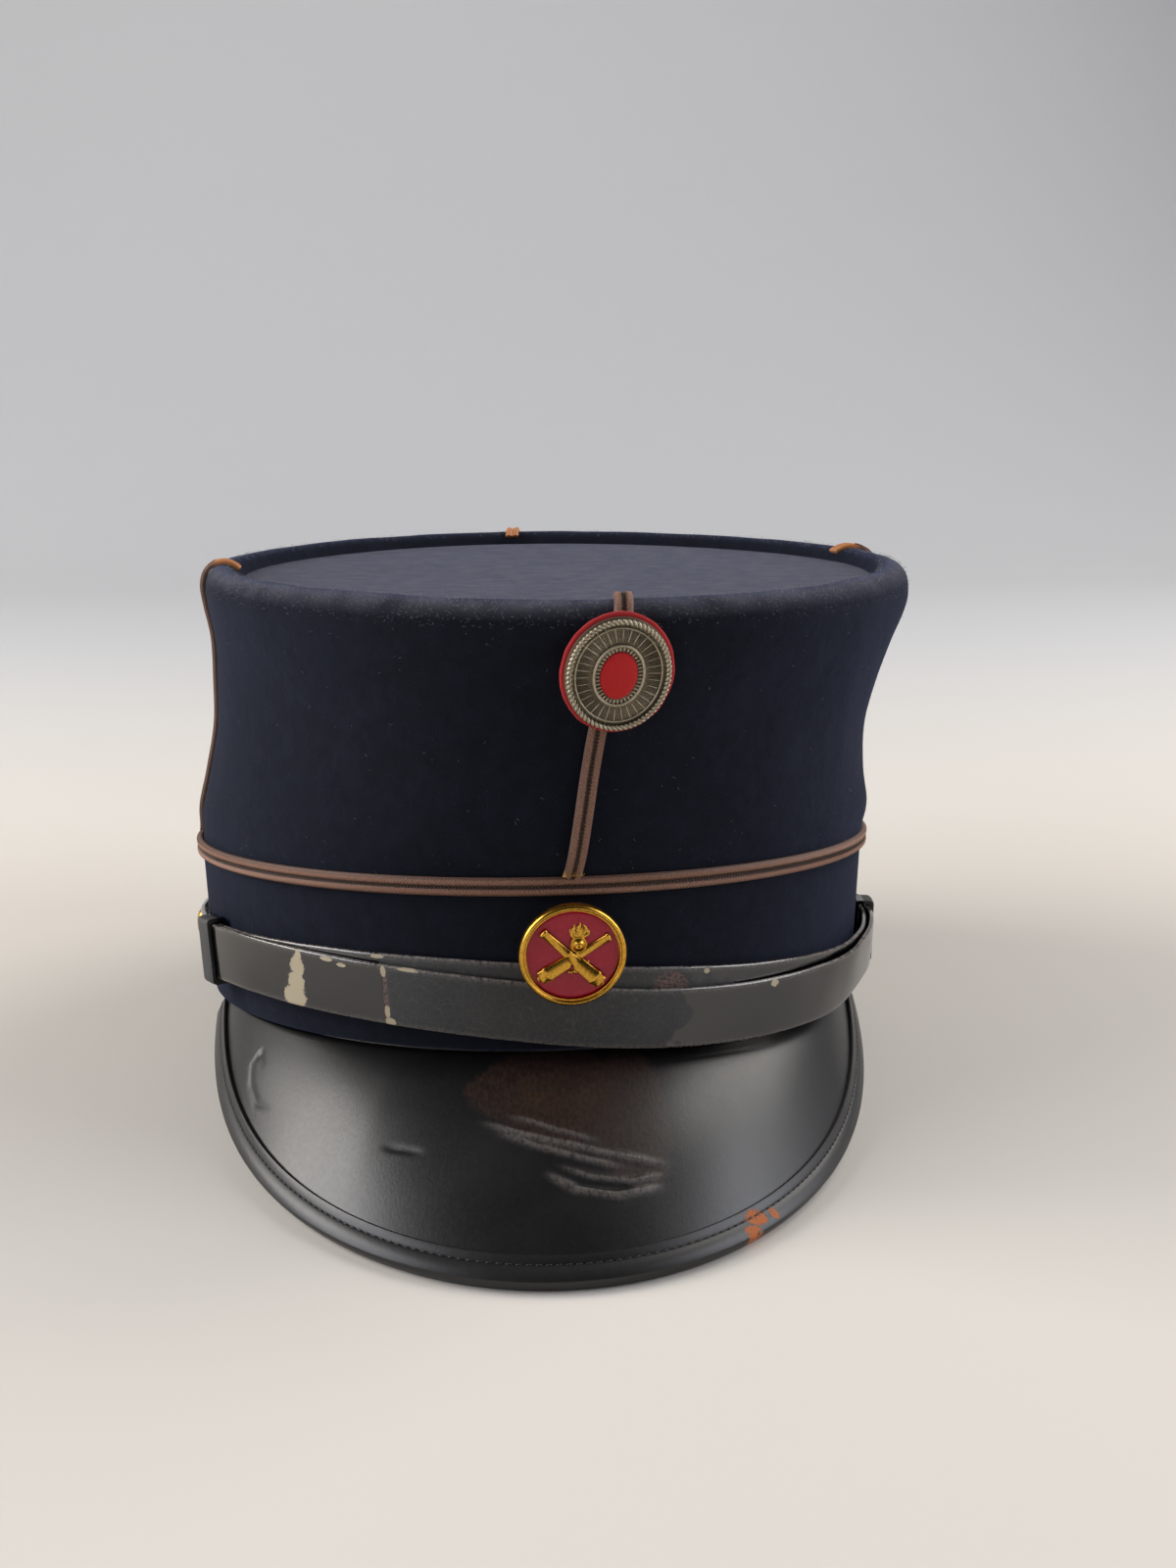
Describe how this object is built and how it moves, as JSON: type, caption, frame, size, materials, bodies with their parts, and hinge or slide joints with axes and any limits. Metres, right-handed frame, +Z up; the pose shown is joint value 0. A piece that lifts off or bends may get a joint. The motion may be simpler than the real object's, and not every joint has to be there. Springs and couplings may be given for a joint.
{
  "type": "kepi cap",
  "caption": "Cloth kepi cap with a flared crown and sunken flat top, braid, cockade, round badge, overlapping chin strap and bound leather peak.",
  "frame": {"origin": "middle of the cap's bounding box, on the surface it rests on", "axes": "+Z up from the surface, the peak points along -Y, +X is the wearer's left"},
  "size_m": [0.1818, 0.2328, 0.125],
  "materials": {
    "navy_cloth": "worn navy wool cloth, matt",
    "grey_worn_cloth": "dusty dark grey-blue wool cloth, matt",
    "brown_braid": "flat brown braid with dark stitched groove",
    "red_felt": "bright red felt",
    "dull_gilt_wire": "tarnished gilt wire winding",
    "gilt_brass": "polished gilt brass",
    "crimson_enamel": "glossy crimson enamel",
    "black_patent_leather": "cracked glossy black patent leather",
    "black_leather": "scuffed black leather, half gloss",
    "black_edging_leather": "worn black edging leather"
  },
  "bodies": {
    "root": {"band": "navy_cloth", "crown_side": "navy_cloth", "crown_top": "grey_worn_cloth", "band_braid": "brown_braid", "front_braid": "brown_braid", "back_braid": "brown_braid", "left_braid": "brown_braid", "right_braid": "brown_braid", "cockade_felt": "red_felt", "cockade_disc": "dull_gilt_wire", "cockade_outer_cord": "dull_gilt_wire", "cockade_inner_cord": "dull_gilt_wire", "cockade_centre": "red_felt", "badge_rim": "gilt_brass", "badge_field": "crimson_enamel", "badge_emblem": "gilt_brass", "chin_strap_inner": "black_patent_leather", "chin_strap_outer": "black_patent_leather", "strap_keeper_left": "black_patent_leather", "strap_keeper_right": "black_patent_leather", "button_left": "gilt_brass", "button_right": "gilt_brass", "peak": "black_leather", "peak_binding": "black_edging_leather"}
  },
  "joints": []
}
